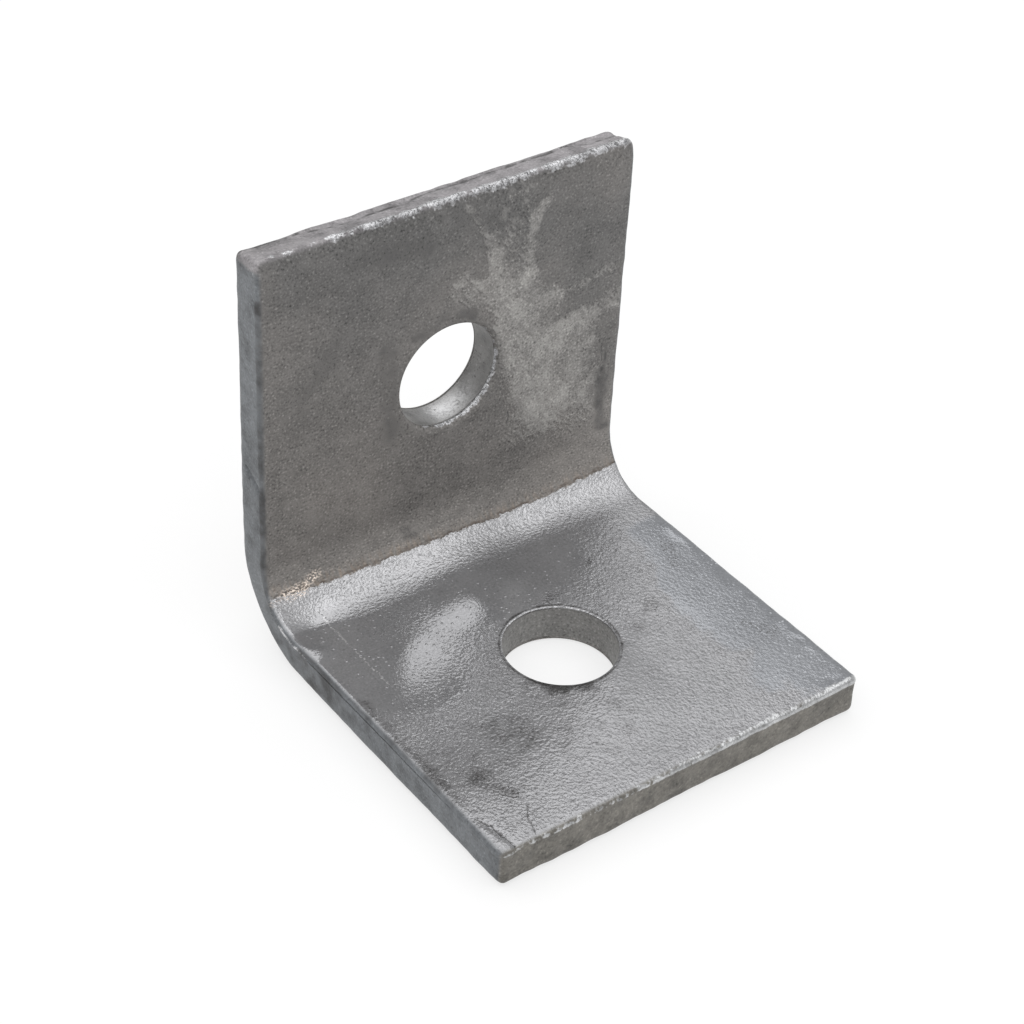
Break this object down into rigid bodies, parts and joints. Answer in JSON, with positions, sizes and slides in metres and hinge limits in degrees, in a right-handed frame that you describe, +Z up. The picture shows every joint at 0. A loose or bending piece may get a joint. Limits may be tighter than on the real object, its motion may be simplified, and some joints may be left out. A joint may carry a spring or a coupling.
{
  "type": "l-bracket",
  "caption": "Short, square L-bracket bent from one piece of flat bar, galvanised all over, with a round bolt hole through each leg.",
  "frame": {"origin": "where the axis of the base's hole meets the bracket's underside", "axes": "+Z up along the base hole's axis and the upright; +X across the bar's width; the base runs forward to -Y, and +Y is towards the upright's back face"},
  "size_m": [0.05, 0.051, 0.0513],
  "materials": {
    "galvanised_steel": "hot-dip galvanised after bending: thick grey zinc, mottled and slightly lumpy, glossier where it ran"
  },
  "bodies": {
    "root": {"bracket": "galvanised_steel"}
  },
  "joints": []
}
